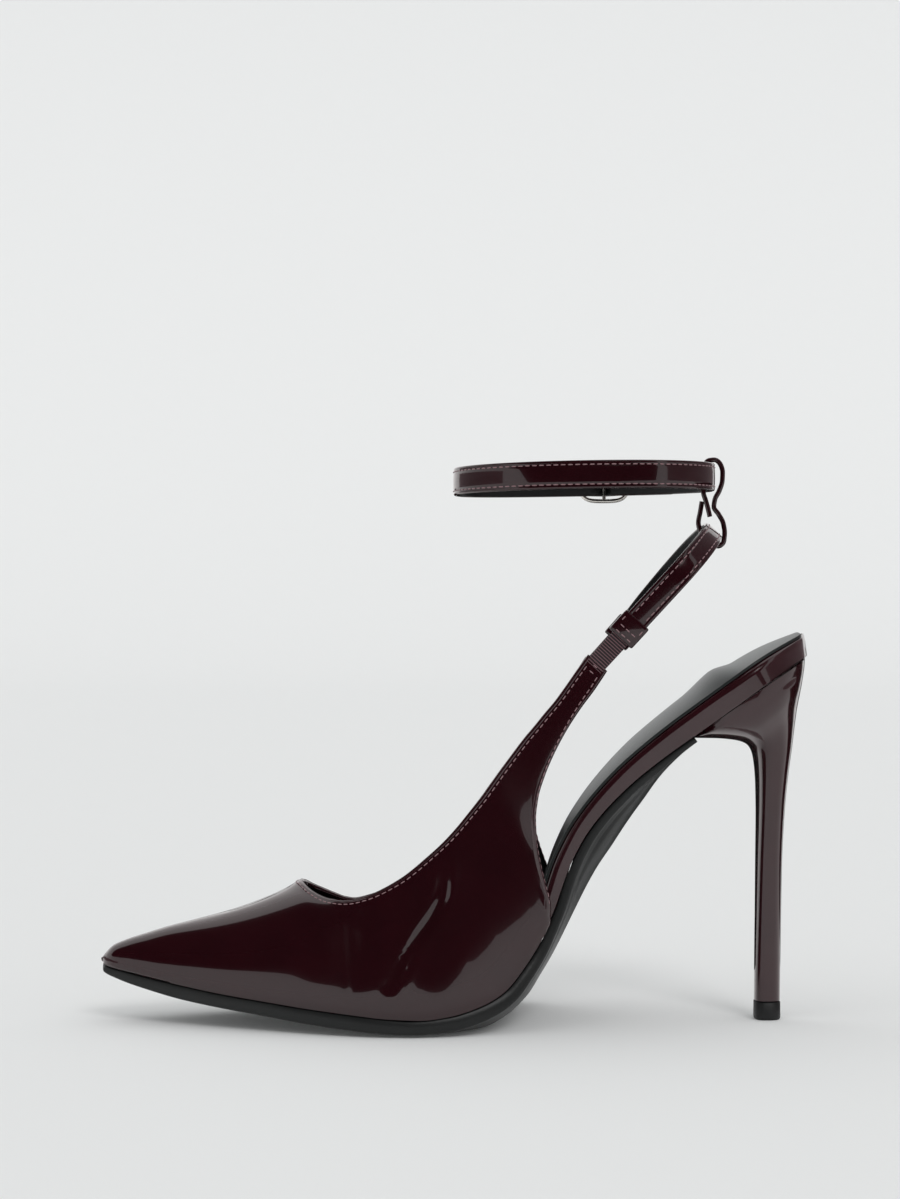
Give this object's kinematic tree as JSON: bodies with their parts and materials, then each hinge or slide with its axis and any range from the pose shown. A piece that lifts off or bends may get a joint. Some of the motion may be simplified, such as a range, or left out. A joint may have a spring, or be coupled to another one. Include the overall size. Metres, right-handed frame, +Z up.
{
  "type": "ankle strap pump",
  "caption": "Pointed slingback pump in dark patent leather with a stiletto heel and a buckled ankle strap tied to the sling by a loop of cord; right foot.",
  "frame": {"origin": "on the floor plane, under the middle of the shoe's bounding box", "axes": "+X towards the heel and -X towards the toe, +Y towards the outer side of the foot with the buckle, +Z up"},
  "size_m": [0.2106, 0.077, 0.1682],
  "materials": {
    "outsole": "smooth semi-gloss black resin rubber",
    "insole_board": "board covered in glossy patent leather",
    "insole_sock": "padded sock, soft grey lining leather, satin",
    "upper": "glossy dark oxblood patent, black lining",
    "gore_medial": "ribbed elastic",
    "gore_lateral": "ribbed elastic",
    "sling_strap": "glossy patent, stitched along both edges",
    "ankle_strap": "glossy patent, stitched along both edges",
    "buckle_frame": "polished nickel",
    "buckle_prong": "polished nickel",
    "link_cord": "thin covered cord, glossy",
    "heel": "moulded heel covered in glossy patent leather",
    "top_piece": "hard black rubber"
  },
  "bodies": {
    "root": {"outsole": "outsole", "insole_board": "insole_board", "insole_sock": "insole_sock", "upper": "upper", "gore_medial": "gore_medial", "gore_lateral": "gore_lateral", "sling_strap": "sling_strap", "ankle_strap": "ankle_strap", "buckle_frame": "buckle_frame", "buckle_prong": "buckle_prong", "link_cord": "link_cord", "heel": "heel", "top_piece": "top_piece"}
  },
  "joints": []
}
